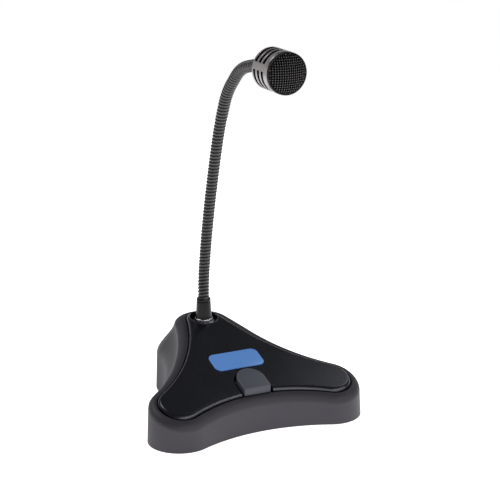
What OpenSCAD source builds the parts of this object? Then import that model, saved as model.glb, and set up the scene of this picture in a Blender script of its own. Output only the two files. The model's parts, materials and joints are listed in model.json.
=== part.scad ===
// Desk paging microphone: three-lobed base, press-to-talk key, flexible neck, slotted head.
// Millimetres. +Z is up, the front is -Y, and the object is alike on both sides of X = 0.

/* [Base outline] */
// Front lobe centre to the middle
lobe_x = 70.5; // [60:0.5:85]
// Place of the front lobe centres along Y
lobe_y = -46; // [-60:0.5:-36]
// Radius of the top plate at a front lobe
lobe_r = 17.8; // [15:0.1:22]
// Place of the neck and of the plate's rear lobe along Y
tail_y = 58.2; // [50:0.1:70]
// Radius of the top plate at the rear lobe
tail_r = 15.2; // [14.8:0.1:19]
// Radius of the hollow in the plate's front edge
front_hollow_r = 152; // [120:1:220]
// Radius of the hollow in each side of the plate
side_hollow_r = 164; // [130:1:240]
// Place of the skirt's rear lobe along Y
skirt_tail_y = 62.6; // [58:0.1:70]
// Radius of the skirt's rear lobe at the top of its wall
skirt_tail_r = 40.4; // [36:0.1:46]

/* [Base form] */
// Height of the plate's edge over the front lobes
edge_z = 32.4; // [30:0.1:42]
// Slope of the top plate in degrees
tilt = 18; // [12:0.5:22]
// Place along Y where the top starts to arch towards the rear
arch_y = 34.5; // [28:0.5:42]
// Radius of the top's arch towards the rear
arch_r = 156; // [130:1:300]
// Width of the rounded shoulder round the plate
shoulder_w = 8.4; // [7:0.1:10]
// Fall of the shoulder from the plate's edge to the wall
shoulder_drop = 6.5; // [5.5:0.1:8]
// How much wider the wall is at its foot than at its top
wall_draft = 1; // [0.2:0.1:2]
// Height of the rear wall below its flare
waist_z = 33.6; // [28:0.1:40]
// Height of the skirt's lower edge over the table
skirt_z = 1.2; // [0.6:0.1:1.8]
// Thickness of the moulded wall
wall_t = 2.6; // [2:0.1:3.4]
// Thickness of the deck under the plate
deck_t = 3; // [2.4:0.1:4]
// Width of the groove round the plate
groove_w = 1.2; // [0.8:0.1:1.8]

/* [Top plate] */
// Height of the plate's top over its edge line
plate_rise = 2.4; // [1.8:0.1:3.2]
// Depth of the plate's underside below its edge line
plate_seat = 3.5; // [3:0.1:4]
// Radius of the plate's rounded edge
plate_round = 1.8; // [1:0.1:2.2]
// Radius of the round recess for the neck
recess_r = 12.2; // [11.8:0.1:12.4]
// Height of the bead round the recess
recess_bead = 0.6; // [0.4:0.1:0.8]
// Radius of the pegs under the plate
peg_r = 1.5; // [1.2:0.1:2]
// Width of the badge plate
badge_w = 46; // [36:0.5:54]
// Depth of the badge plate along the slope
badge_d = 23; // [14:0.5:26]
// Thickness of the badge plate
badge_t = 1.2; // [0.8:0.1:2]
// Gap from the key's slot to the badge plate
badge_gap = 3.4; // [2:0.1:8]

/* [Key] */
// Width of the key
key_w = 25; // [21:0.5:29]
// Length of the key
key_len = 25.3; // [23:0.1:28]
// Height of the key's top over the plate
key_rise = 3.9; // [3:0.1:5]
// Gap round the key in its slot
key_gap = 2.2; // [1.2:0.1:2.6]
// Rounding of the key's top edge
key_round = 0.9; // [0.5:0.1:1.4]
// Travel of the key
key_travel = 2.5; // [1.5:0.1:3]
// Width of the key's square stem
stem_w = 12; // [11:0.5:14]
// Length of the guide under the deck
guide_h = 7; // [5:0.5:8]

/* [Bottom and board] */
// Thickness of the steel bottom plate
bottom_t = 1.5; // [1:0.1:2]
// Height of the bottom plate over the table
bottom_z = 2; // [1.9:0.1:2.6]
// Radius of a rubber foot
foot_r = 9; // [6:0.5:12]
// Radius of a screw boss
boss_r = 4; // [3.2:0.1:5]
// Radius of a screw's shank
screw_r = 1.5; // [1.2:0.1:1.8]
// Width of the circuit board
board_w = 60; // [50:1:70]
// Depth of the circuit board
board_d = 38; // [34:1:42]
// Thickness of the circuit board
board_t = 1.6; // [1:0.1:2]
// Side of the square switch body
switch_w = 12; // [9:0.5:13]
// Height of the switch body
switch_h = 6; // [5:0.1:6.6]
// Radius of the cord inlet's bore
inlet_r = 3; // [2.4:0.1:3.5]
// Height of the cord inlet
inlet_z = 13; // [12:0.5:20]

/* [Neck] */
// Radius over the neck's ribs
neck_r = 4.5; // [3.8:0.1:5]
// Depth of the groove between two ribs
rib_depth = 0.6; // [0.3:0.05:0.8]
// Radius of the neck's bore
neck_bore_r = 2.2; // [1.6:0.1:2.6]
// Length of one neck section from bend to bend
section_len = 36.4; // [30:0.2:42]
// Ribs on one section
section_ribs = 10; // [6:1:12]
// Rest bends of the four lower sections in degrees
lower_bends = [9.5, 3, 2.5, 2]; // [0:0.5:30]
// Rest bends of the four upper sections in degrees
upper_bends = [7, 22.5, 30, 13.5]; // [0:0.5:30]
// Height of the ferrule's top
neck_z = 84.5; // [80:0.5:95]
// Radius of the ferrule at its foot
ferrule_r = 6.9; // [6.2:0.1:7.2]
// Radius of the ferrule at its top
ferrule_top_r = 5.85; // [5.5:0.05:6.2]
// Radius of the collar's lower bead
collar_r = 10; // [9:0.1:10.2]
// Radius of the collar's upper bead
collar_top_r = 8.3; // [7.6:0.1:8.8]
// Height of the collar
collar_h = 5.5; // [4.5:0.1:6.5]
// Radius of the threaded bush
bush_r = 5; // [4.8:0.1:5.2]

/* [Head] */
// Radius of the barrel
barrel_r = 17; // [16:0.1:19]
// Length of the barrel
barrel_len = 25.5; // [24:0.1:32]
// Thickness of the barrel's wall
barrel_t = 1.2; // [1:0.1:1.8]
// Width of a slot
slot_w = 3.3; // [2:0.1:3.6]
// Spacing of the slot rows
slot_pitch = 6.5; // [5.5:0.1:7]
// Distance of the first slot row from the rear edge
slot_start = 3.7; // [3.2:0.1:4.5]
// Rows of slots
slot_rows = 3; // [1:1:3]
// Slots in one row
slots_round = 4; // [2:1:6]
// Width of the bridge between two slots
bridge_w = 6.2; // [4:0.1:8]
// Turn of the bridges from level in degrees
bridge_turn = 15; // [0:1:45]
// Length of the rear cap
cap_len = 9; // [7:0.5:12]
// Depth of the dark groove behind the grille
ring_gap = 1.2; // [0.8:0.1:1.8]
// Height of the grille's dome
dome_h = 4.5; // [3:0.1:6]
// Thickness of the grille's wire
wire_d = 0.6; // [0.4:0.05:0.8]
// Spacing of the grille's wires
wire_pitch = 1.7; // [1.4:0.1:2.5]
// Radius of the capsule
capsule_r = 11; // [9:0.1:12.5]
// Length of the capsule
capsule_len = 11; // [8:0.5:12]

/* [Fits] */
// Gap between two neck sections
neck_gap = 0.3; // [0.2:0.05:0.5]
// Gap between parts that slide
slide_gap = 0.1; // [0.05:0.05:0.2]
// Gap round a part that is pressed or screwed in
seat_gap = 0.05; // [0.02:0.01:0.1]
// Gap between the key and the groove's outer wall
key_clear = 0.3; // [0.2:0.05:0.5]

/* [Hidden] */
$fn = 64;

// Points on each arc of the base outline: half the front, a lobe, a side, half the tail
FRONT_STEPS = 7;
LOBE_STEPS = 14;
SIDE_STEPS = 12;
TAIL_STEPS = 9;
SHOULDER_STEPS = 5;
FLARE_STEPS = 5;
ROUND_STEPS = 3;
ARCH_STEPS = 16;

// Heights on the top, from the plate's edge at a given Y: a slope that arches over at the rear
function edge(y) = edge_z + (y - lobe_y) * tan(tilt) - pow(max(0, y - arch_y), 2) / (2 * arch_r);
function slope(y) = atan(tan(tilt) - max(0, y - arch_y) / arch_r);
function deck(y) = edge(y) - plate_seat;
function ceiling(y) = deck(y) - deck_t;
function mix(a, b, t) = a + (b - a) * t;

// The outline is three round lobes joined by three hollow arcs, each tangent to its two lobes
function bearing(from, to) = atan2(to.y - from.y, to.x - from.x);
function arc(c, r, a0, a1, n) = [for (i = [0:n - 1]) let(a = mix(a0, a1, i / n)) c + r * [cos(a), sin(a)]];
function tangent_centre(p, a, q, b) =
  let(d = norm(q - p), u = (q - p) / d, k = (a * a - b * b + d * d) / (2 * d))
  p + k * u + sqrt(a * a - k * k) * [u.y, -u.x];
function front_centre(r_lobe, r_front) = [0, lobe_y - sqrt(pow(r_front + r_lobe, 2) - lobe_x * lobe_x)];
function half_outline(r_lobe, r_tail, y_tail, r_front, r_side) =
  let(
    lobe = [lobe_x, lobe_y],
    tail = [0, y_tail],
    front = front_centre(r_lobe, r_front),
    side = tangent_centre(lobe, r_lobe + r_side, tail, r_tail + r_side),
    a = bearing(front, lobe),
    b = bearing(lobe, side),
    c = bearing(tail, side)
  )
  concat(
    arc(front, r_front, 90, a, FRONT_STEPS),
    arc(lobe, r_lobe, a - 180, b, LOBE_STEPS),
    arc(side, r_side, b + 180, c + 180, SIDE_STEPS),
    arc(tail, r_tail, c, 90, TAIL_STEPS)
  );
function whole_outline(half, rear) =
  concat(half, [rear], [for (i = [len(half) - 1:-1:1]) [-half[i].x, half[i].y]]);
function outline(r_lobe, r_tail, y_tail, r_front, r_side) =
  whole_outline(half_outline(r_lobe, r_tail, y_tail, r_front, r_side), [0, y_tail + r_tail]);
function plate_line(o) = outline(lobe_r + o, tail_r + o, tail_y, front_hollow_r - o, side_hollow_r - o);
function skirt_line(o) =
  let(s = shoulder_w + o)
  outline(lobe_r + s, skirt_tail_r + o, skirt_tail_y, front_hollow_r - s, side_hollow_r - s);
function level(line, z) = [for (p = line) [p.x, p.y, z]];
function sloped(line, dz) = [for (p = line) [p.x, p.y, edge(p.y) + dz]];

// The flare eases from the skirt's wall top up to the foot of the shoulder
FLARE_LIP = 1.2;
FLARE_BIAS = 0.85;
function wall_top(y) = min(waist_z, edge(y) - shoulder_drop - FLARE_LIP);
function flare(t, inset) =
  let(
    low = skirt_line(-inset),
    high = plate_line(shoulder_w - inset),
    c = (1 - cos(180 * pow(t, FLARE_BIAS))) / 2
  )
  [for (i = [0:len(low) - 1])
    let(p = mix(low[i], high[i], c), z0 = wall_top(low[i].y), z1 = edge(high[i].y) - shoulder_drop)
    [p.x, p.y, mix(z0, z1, t)]];
function shoulder(a) =
  sloped(plate_line(groove_w + (shoulder_w - groove_w) * cos(a)), shoulder_drop * (sin(a) - 1));

// Caps on a ring's end: a fan from a centre, and over an arched rear strips from side to side
function middle(ring) = [for (p = ring) 1] * ring / len(ring);
function hub(ring) = let(y = middle(ring).y) [0, y, ring[0].z + edge(y) - edge(ring[0].y)];
function arch_start(ring) = max([for (i = [0:len(ring) / 2]) ring[i].y <= arch_y ? i : 0]);
function fan(centre, first, n, from, to) =
  [for (i = [from:to - 1]) [centre, first + (i + 1) % n, first + i]];
function strips(first, n, from) = [for (i = [from:n / 2 - 1])
  let(a = first + i, b = a + 1, c = first + n - i - 1, d = c + 1)
  each b == c ? [[d, b, a]] : [[d, c, b], [d, b, a]]];
function cap(ring, centre, first, arched) =
  let(n = len(ring), s = arched ? arch_start(ring) : 0)
  s == 0 ? fan(centre, first, n, 0, n)
    : concat(fan(centre, first, n, 0, s), fan(centre, first, n, n - s, n),
        [[centre, first + n - s, first + s]], strips(first, n, s));
function flipped(faces) = [for (f = faces) [f[2], f[1], f[0]]];

// Skin over rings that run from the top down the outside; a loop closes on itself, else it gets caps
module skin(rings, loop = false, arched = false) {
  n = len(rings[0]);
  m = len(rings);
  bands = loop ? m : m - 1;
  sides = [for (k = [0:bands - 1], i = [0:n - 1])
    let(j = (i + 1) % n, l = (k + 1) % m)
    each [[k * n + i, k * n + j, l * n + j], [k * n + i, l * n + j, l * n + i]]];
  ends = [rings[0], rings[m - 1]];
  centres = loop ? [] : [for (ring = ends) arched ? hub(ring) : middle(ring)];
  caps = loop ? [] : concat(
    cap(ends[0], m * n, 0, arched), flipped(cap(ends[1], m * n + 1, (m - 1) * n, arched)));
  points = concat([for (ring = rings) each ring], centres);
  polyhedron(points = points, faces = concat(sides, caps), convexity = 8);
}

// Tube swept along points, as rings of the given number of sides
function unit(v) = v / norm(v);
function route_way(route, i) = unit(route[min(i + 1, len(route) - 1)] - route[max(i - 1, 0)]);
module swept_tube(route, r, sides, across) {
  skin([for (i = [len(route) - 1:-1:0])
    let(way = route_way(route, i), u = unit(cross(across, way)), v = cross(way, u))
    [for (j = [0:sides - 1]) route[i] + r * (cos(360 * j / sides) * u + sin(360 * j / sides) * v)]]);
}

// Places along the front: the plate's front edge, the key and its stem
plate_front = front_centre(lobe_r, front_hollow_r).y + front_hollow_r;
key_front = plate_front - groove_w + key_clear;
key_y = key_front + key_len - key_w / 2;
badge_y = key_front + key_len + key_gap + badge_gap + badge_d / 2 * cos(tilt);

// Heights of the key's train, from the deck down to the bottom plate
STOP_GAP = 0.3;
BARB_H = 1.9;
BARB_W = 1;
GUIDE_T = 2;
POCKET_R = 4.4;
POCKET_H = 12;
PLUNGER_R = 1.7;
SWITCH_GAP = 1.5;
SWITCH_FLOOR = 1;
guide_z = ceiling(key_y) - guide_h;
stem_z = guide_z - slide_gap - BARB_H;
switch_top = stem_z - key_travel - SWITCH_GAP;
board_z = switch_top - switch_h;
bottom_top = bottom_z + bottom_t;
BOARD_BACK = 4;
board_y = key_front + BOARD_BACK + board_d / 2;

// Screw places: two by the front lobes, two ahead of the neck
BOSS_IN = 18;
BOSS_X = 13;
BOSS_AHEAD = 20;
boss_places = [for (s = [-1, 1])
  each [[s * (lobe_x - BOSS_IN), lobe_y], [s * BOSS_X, tail_y - BOSS_AHEAD]]];
foot_places = [[-lobe_x, lobe_y], [lobe_x, lobe_y], [0, skirt_tail_y + skirt_tail_r / 4]];
POST_EDGE = 4;
post_places = [for (s = [-1, 1], t = [-1, 1])
  [s * (board_w / 2 - POST_EDGE), board_y + t * (board_d / 2 - POST_EDGE)]];
peg_places = [for (s = [-1, 1]) each [[s * lobe_x, lobe_y], [s * BOSS_X, 0]]];
SCREW_IN = 9;
SCREW_HEAD_R = 2.8;
SCREW_HEAD_H = 1.4;

// Heights at the neck's foot
NECK_BOSS_R = 10.3;
NECK_BOSS_H = 8.3;
BOSS_BELOW = 3;
WASHER_T = 1.5;
NUT_T = 6;
NUT_R = 9.8;
WASHER_R = 9.6;
GRIP = 10.3;
neck_seat = edge(tail_y) - BOSS_BELOW;
washer_z = neck_seat - NECK_BOSS_H - WASHER_T;
nut_z = washer_z - NUT_T;
bush_top = neck_z - GRIP - seat_gap;
collar_top = neck_seat + collar_h;

module base_shell() {
  rings = concat(
    [sloped(plate_line(groove_w), -plate_seat)],
    [for (i = [0:SHOULDER_STEPS - 1]) shoulder(90 - 90 * i / SHOULDER_STEPS)],
    [for (i = [0:FLARE_STEPS]) flare(1 - i / FLARE_STEPS, 0)],
    [level(skirt_line(wall_draft), skirt_z)],
    [level(skirt_line(wall_draft - wall_t), skirt_z)],
    [for (i = [0:FLARE_STEPS]) flare(i / FLARE_STEPS, wall_t)],
    [sloped(plate_line(groove_w + wall_t / 2), -plate_seat - deck_t)]
  );
  color("dimgray") difference() {
    union() {
      skin(rings, arched = true);
      for (p = boss_places) translate([p.x, p.y, bottom_top])
        cylinder(r = boss_r, h = ceiling(p.y) + deck_t / 2 - bottom_top);
      translate([0, tail_y, neck_seat - NECK_BOSS_H]) cylinder(r = NECK_BOSS_R, h = NECK_BOSS_H);
      key_guide();
    }
    translate([0, tail_y, neck_seat]) cylinder(r = collar_r + 4 * slide_gap, h = shoulder_w + collar_h);
    translate([0, tail_y, washer_z]) cylinder(r = bush_r + slide_gap, h = NECK_BOSS_H + 2 * WASHER_T);
    translate([0, key_y, stem_z + key_rise * 4])
      cube([stem_w + 2 * slide_gap, stem_w + 2 * slide_gap, 12 * key_rise], center = true);
    for (p = boss_places) translate([p.x, p.y, bottom_top - 1])
      cylinder(r = screw_r + seat_gap, h = SCREW_IN + 2);
    for (p = peg_places) translate([p.x, p.y, ceiling(p.y) - deck_t])
      cylinder(r = peg_r + slide_gap, h = 3 * deck_t);
    translate([0, wall_rear, inlet_z]) rotate([90, 0, 0])
      cylinder(r = inlet_body_r + seat_gap, h = 6 * wall_t, center = true);
  }
}

// Square guide under the deck, cut off level below and ending inside the sloping deck above
module key_guide() {
  w = stem_w + 2 * GUIDE_T;
  top = ceiling(key_y) + deck_t / 2;
  translate([-w / 2, key_y - w / 2, guide_z]) intersection() {
    cube([w, w, top - guide_z + w]);
    translate([-1, w / 2, top - guide_z]) rotate([tilt, 0, 0]) translate([0, -2 * w, -4 * w])
      cube([w + 2, 4 * w, 4 * w]);
  }
}

// Frame on the slope at the given Y, raised from the plate's edge line, Z out of the slope
module on_slope(y, rise = 0) {
  translate([0, y, edge(y) + rise]) rotate([slope(y), 0, 0]) children();
}

// The bead's outer radius stays inside the plate's rounded edge, and its foot follows the arch
BEAD_IN = 0.25;
BEAD_DOWN = 0.2;
bead_out = tail_r - plate_round - BEAD_IN;
module top_plate() {
  rings = concat(
    [for (i = [0:ROUND_STEPS])
      let(a = 90 - 90 * i / ROUND_STEPS)
      sloped(plate_line(plate_round * (cos(a) - 1)), plate_rise + plate_round * (sin(a) - 1))],
    [sloped(plate_line(0), -plate_seat)]
  );
  color("#222328") {
    difference() {
      union() {
        skin(rings, arched = true);
        on_slope(tail_y, plate_rise - BEAD_DOWN) rotate_extrude() polygon([
          [recess_r - recess_bead, -plate_rise], [bead_out, -plate_rise], [bead_out, 0],
          [bead_out - recess_bead / 2, recess_bead], [recess_r - recess_bead, recess_bead]]);
        for (p = peg_places) translate([p.x, p.y, ceiling(p.y) - 1])
          cylinder(r = peg_r, h = deck_t + plate_seat);
      }
      on_slope(tail_y) cylinder(r = recess_r, h = 3 * recess_r, center = true);
      linear_extrude(height = edge(tail_y)) polygon(slot_line());
    }
  }
}

// Plan of the slot: open at the front, round at the rear
function slot_line() =
  let(w = key_w / 2 + key_gap, front = key_front - 2 * key_w)
  concat([[-w, front], [w, front]], arc([0, key_y], w, 0, 180, 2 * ARCH_STEPS), [[-w, key_y]]);

module badge_plate() {
  r = badge_d / 4;
  color("#4a77b4") on_slope(badge_y, plate_rise) linear_extrude(height = badge_t) {
    square([badge_w - 2 * r, badge_d], center = true);
    square([badge_w, badge_d - 2 * r], center = true);
    for (s = [-1, 1], t = [-1, 1]) translate([s * (badge_w / 2 - r), t * (badge_d / 2 - r)]) circle(r = r);
  }
}

module bottom_plate() {
  color("silver") difference() {
    translate([0, 0, bottom_z]) linear_extrude(height = bottom_t)
      polygon(skirt_line(wall_draft - wall_t - wall_draft - slide_gap));
    for (p = boss_places) translate([p.x, p.y, bottom_z - 1])
      cylinder(r = screw_r + 2 * slide_gap, h = bottom_t + 2);
    for (p = post_places) translate([p.x, p.y, bottom_z - 1])
      cylinder(r = screw_r + seat_gap, h = bottom_t + 2);
  }
}

module rubber_feet() {
  round = 0.5;
  color("#1c1c1e") for (p = foot_places) translate([p.x, p.y, 0]) rotate_extrude()
    polygon([[0, 0], [foot_r - round, 0], [foot_r, round], [foot_r, bottom_z], [0, bottom_z]]);
}

// Pan-head screw, head down at z = 0, with a cross recess
module screw(head_r, head_h, shank_r, shank_l) {
  difference() {
    union() {
      translate([0, 0, -head_h]) cylinder(r = head_r, h = head_h);
      cylinder(r = shank_r, h = shank_l);
    }
    for (a = [0, 90]) rotate([0, 0, a]) translate([0, 0, -head_h])
      cube([head_r * 1.2, head_r / 3, head_h], center = true);
  }
}

module bottom_screws() {
  color("gray") for (p = boss_places) translate([p.x, p.y, bottom_z])
    screw(SCREW_HEAD_R, SCREW_HEAD_H, screw_r, bottom_t + SCREW_IN);
}

// Plan of the key: flat front with rounded corners, round rear
function key_line(o) =
  let(w = key_w / 2 + o, f = key_front - o, c = key_round + o)
  concat(
    arc([w - c, f + c], c, -90, 0, ROUND_STEPS),
    arc([0, key_y], w, 0, 180, ARCH_STEPS),
    [[-w, key_y]],
    arc([c - w, f + c], c, 180, 270, ROUND_STEPS),
    [[c - w, f]]
  );

module ptt_button() {
  low = key_travel + STOP_GAP - plate_seat;
  high = plate_rise + key_rise;
  rings = concat(
    [for (i = [0:ROUND_STEPS])
      let(a = 90 - 90 * i / ROUND_STEPS, c = key_round * 0.9)
      sloped(key_line(c * (cos(a) - 1)), high + c * (sin(a) - 1))],
    [sloped(key_line(0), low)]
  );
  color("#494c55") {
    difference() {
      union() {
        skin(rings);
        translate([-stem_w / 2, key_y - stem_w / 2, stem_z])
          cube([stem_w, stem_w, edge(key_y) + low + key_rise / 2 - stem_z]);
        for (s = [-1, 1]) translate([s * stem_w / 2, key_y, stem_z + BARB_H / 2])
          cube([2 * BARB_W, stem_w / 2, BARB_H], center = true);
      }
      translate([0, key_y, stem_z - 1]) cylinder(r = POCKET_R, h = POCKET_H + 1);
    }
    translate([0, key_y, stem_z]) cylinder(r = PLUNGER_R, h = POCKET_H + 1);
  }
}

// Coil spring between the switch body and the roof of the stem's pocket
SPRING_R = 3.5;
SPRING_WIRE_R = 0.4;
SPRING_TURNS = 6;
CURL_STEPS = 8;
module return_spring() {
  low = switch_top + SPRING_WIRE_R + seat_gap;
  high = stem_z + POCKET_H - SPRING_WIRE_R - seat_gap;
  route = [for (i = [0:SPRING_TURNS * CURL_STEPS])
    let(a = 360 * i / CURL_STEPS, t = i / (SPRING_TURNS * CURL_STEPS))
    [SPRING_R * cos(a), key_y + SPRING_R * sin(a), mix(low, high, t)]];
  color("silver") swept_tube(route, SPRING_WIRE_R, 6, [0, 0, 1]);
}

module switch_body() {
  color("#202022") translate([0, key_y, board_z]) difference() {
    translate([-switch_w / 2, -switch_w / 2, 0]) cube([switch_w, switch_w, switch_h]);
    translate([0, 0, SWITCH_FLOOR]) cylinder(r = PLUNGER_R + slide_gap, h = switch_h);
  }
}

module switch_plunger() {
  low = board_z + SWITCH_FLOOR + key_travel + STOP_GAP;
  color("ivory") translate([0, key_y, low]) cylinder(r = PLUNGER_R, h = stem_z - low);
}

module circuit_board() {
  color("darkgreen") difference() {
    translate([-board_w / 2, board_y - board_d / 2, board_z - board_t]) cube([board_w, board_d, board_t]);
    for (p = post_places) translate([p.x, p.y, board_z - board_t - 1])
      cylinder(r = screw_r + slide_gap, h = board_t + 2);
  }
}

POST_R = 3;
POST_SPIGOT = 0.2;
POST_HOLE = 4;
module board_posts() {
  color("silver") for (p = post_places) translate([p.x, p.y, 0]) difference() {
    union() {
      translate([0, 0, bottom_top]) cylinder(r = POST_R, h = board_z - board_t - bottom_top, $fn = 6);
      translate([0, 0, bottom_z + POST_SPIGOT]) cylinder(r = screw_r, h = bottom_t);
    }
    translate([0, 0, board_z - board_t - POST_HOLE])
      cylinder(r = screw_r - 3 * slide_gap, h = POST_HOLE + 1);
  }
}

BOARD_HEAD_R = 2.4;
BOARD_SCREW_IN = 3;
module board_screws() {
  r = screw_r - 4 * slide_gap;
  color("gray") for (p = post_places) translate([p.x, p.y, board_z]) rotate([180, 0, 0])
    screw(BOARD_HEAD_R, SCREW_HEAD_H, r, board_t + BOARD_SCREW_IN);
}

// Plug of the microphone lead on the board's rear edge
PLUG = [9, 8, 6];
plug_y = board_y + board_d / 2 - PLUG.y;
module lead_plug() {
  color("white") translate([-PLUG.x / 2, plug_y, board_z]) difference() {
    cube(PLUG);
    translate([PLUG.x / 2, PLUG.y + 1, PLUG.z / 2]) rotate([90, 0, 0])
      cylinder(r = LEAD_R + slide_gap, h = PLUG.y / 2 + 1);
  }
}

// The microphone lead in the base, from the bush down to its plug
LEAD_R = 1.6;
LEAD_IN = 4;
PLUG_RUN = 14;
lead_points = [[0, 0, 6], [0, 0, -3], [0, -2, -11], [0, -8, -21], [0, -19, -29], [0, -31, -33],
  [0, -43, -34.5]];
module mic_lead() {
  foot = [0, tail_y, nut_z];
  plug = [0, plug_y + PLUG.y - LEAD_IN + 1, board_z + PLUG.z / 2];
  route = concat([for (p = lead_points) foot + p], [plug + [0, PLUG_RUN, 0], plug]);
  color("#2b2b2d") swept_tube(route, LEAD_R, 8, [1, 0, 0]);
}

// Screw terminals of the outgoing cord, beside the plug
TERMINALS = [11.4, 8, 9];
TERMINAL_COUNT = 3;
TERMINAL_GAP = 1.5;
ENTRY_Z = 1.5;
WELL_H = 2;
module cord_terminals() {
  step = TERMINALS.x / TERMINAL_COUNT;
  entry = 0.6 * step;
  color("seagreen") translate([PLUG.x / 2 + TERMINAL_GAP, plug_y, board_z]) difference() {
    cube(TERMINALS);
    for (i = [0:TERMINAL_COUNT - 1]) translate([step * (i + 0.5), TERMINALS.y / 2, TERMINALS.z - WELL_H])
      cylinder(r = step / 3, h = WELL_H + 1);
    for (i = [0:TERMINAL_COUNT - 1]) translate([step * (i + 0.5) - entry / 2, TERMINALS.y / 2, ENTRY_Z])
      cube([entry, TERMINALS.y, entry]);
  }
}

// Rubber inlet in the rear wall: a groove in it takes the wall
INLET_WALL = 2;
INLET_FLANGE = 2;
INLET_FLANGE_T = 2;
inlet_body_r = inlet_r + INLET_WALL;
wall_rear = skirt_tail_y + skirt_tail_r + wall_draft * (1 - (inlet_z - skirt_z) / (waist_z - skirt_z));
module cord_grommet() {
  r = inlet_body_r + INLET_FLANGE;
  hollow = r * r / (2 * (skirt_tail_r - wall_t)) + slide_gap;
  groove = wall_t + hollow;
  round = INLET_FLANGE_T / 3;
  color("#1a1a1c") translate([0, wall_rear + slide_gap, inlet_z]) rotate([-90, 0, 0]) rotate_extrude()
    polygon([[inlet_r, -groove - INLET_FLANGE_T], [r, -groove - INLET_FLANGE_T], [r, -groove],
      [inlet_body_r, -groove], [inlet_body_r, 0], [r, 0], [r, INLET_FLANGE_T - round],
      [r - round, INLET_FLANGE_T], [inlet_r, INLET_FLANGE_T]]);
}

// Polished ring at the neck's foot, a wide bead under a narrow one
module neck_collar() {
  low = collar_h * 0.55;
  high = collar_h - low;
  color("black") translate([0, tail_y, neck_seat]) difference() {
    union() {
      bead(collar_r, low);
      translate([0, 0, low]) bead(collar_top_r, high);
    }
    translate([0, 0, -1]) cylinder(r = bush_r + seat_gap, h = collar_h + 2);
  }
}

module bead(r, h) {
  rotate_extrude() {
    square([r - h / 2, h]);
    translate([r - h / 2, h / 2]) intersection() {
      circle(d = h);
      translate([0, -h]) square([h, 2 * h]);
    }
  }
}

module neck_bush() {
  low = nut_z - 1;
  color("gray") translate([0, tail_y, low]) difference() {
    cylinder(r = bush_r, h = bush_top - low);
    translate([0, 0, -1]) cylinder(r = neck_bore_r + slide_gap, h = bush_top - low + 2);
  }
}

module bush_washer() {
  color("silver") translate([0, tail_y, washer_z]) difference() {
    cylinder(r = WASHER_R, h = WASHER_T);
    translate([0, 0, -1]) cylinder(r = bush_r + seat_gap, h = WASHER_T + 2);
  }
}

module bush_nut() {
  color("silver") translate([0, tail_y, nut_z]) difference() {
    cylinder(r = NUT_R, h = NUT_T, $fn = 6);
    translate([0, 0, -1]) cylinder(r = bush_r + seat_gap, h = NUT_T + 2);
  }
}

module neck_ferrule() {
  bevel = 0.7;
  step = neck_z - GRIP;
  color("#3a3839") translate([0, tail_y, 0]) rotate_extrude()
    polygon([[bush_r + seat_gap, collar_top], [ferrule_r, collar_top], [ferrule_top_r, neck_z - bevel],
      [ferrule_top_r - bevel, neck_z], [neck_r + slide_gap, neck_z], [neck_r + slide_gap, step],
      [bush_r + seat_gap, step]]);
}

// The neck's centreline in the plane X = 0: each section runs straight, bends, and runs straight again
BENDS = concat(lower_bends, upper_bends);
SECTIONS = len(BENDS);
END_RUN = 5.5;
NECK_SIDES = 12;
BORE_STEPS = 6;
function lean(k) = k == 0 ? 0 : lean(k - 1) + BENDS[k - 1];
function heading(a) = [-sin(a), cos(a)];
function chord(s, turn) = turn == 0 ? s : s * sin(turn / 2) / (turn / 2 * PI / 180);
function bend_end(k, s, turn) = chord(s, turn) * heading(lean(k) + turn / 2);
function joint(k) =
  k == 0 ? [tail_y, neck_z]
  : joint(k - 1) + END_RUN * (heading(lean(k - 1)) + heading(lean(k)))
    + bend_end(k - 1, section_len - 2 * END_RUN, BENDS[k - 1]);
function section_point(k, s) =
  s <= END_RUN ? joint(k) + s * heading(lean(k))
  : s >= section_len - END_RUN ? joint(k + 1) - (section_len - s) * heading(lean(k + 1))
  : joint(k) + END_RUN * heading(lean(k)) + bend_end(k, s - END_RUN, section_turn(k, s));
function section_turn(k, s) =
  BENDS[k] * min(max((s - END_RUN) / (section_len - 2 * END_RUN), 0), 1);
function neck_ring(k, s, r) =
  let(p = section_point(k, s), a = lean(k) + section_turn(k, s))
  [for (j = [0:NECK_SIDES - 1])
    let(x = r * cos(360 * j / NECK_SIDES), u = r * sin(360 * j / NECK_SIDES))
    [x, p.x + u * cos(a), p.y + u * sin(a)]];

// Each section ends in a ball at its upper bend and starts with a cup round the ball below it
groove_r = neck_r - rib_depth;
cup_r = neck_r + neck_gap;
ball_low = sqrt(neck_r * neck_r - groove_r * groove_r);
cup_high = sqrt(cup_r * cup_r - groove_r * groove_r);
BALL_STEPS = 5;
CUP_STEPS = 3;
function ball_profile() =
  let(a0 = asin(neck_bore_r / neck_r), a1 = 180 - asin(groove_r / neck_r))
  [for (i = [0:BALL_STEPS])
    let(a = mix(a0, a1, i / BALL_STEPS)) [section_len + neck_r * cos(a), neck_r * sin(a)]];
function cup_profile() =
  let(a0 = asin(groove_r / cup_r), a1 = asin(neck_bore_r / cup_r))
  [for (i = [1:CUP_STEPS]) let(a = mix(a0, a1, i / CUP_STEPS)) [cup_r * cos(a), cup_r * sin(a)]];
function rib_profile(low, high) =
  let(p = (high - low) / section_ribs)
  [for (i = [section_ribs:-1:1]) each [[low + (i - 0.5) * p, neck_r], [low + (i - 1) * p, groove_r]]];
function bore_profile(low, high) = [for (i = [0:BORE_STEPS]) [mix(low, high, i / BORE_STEPS), neck_bore_r]];
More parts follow.
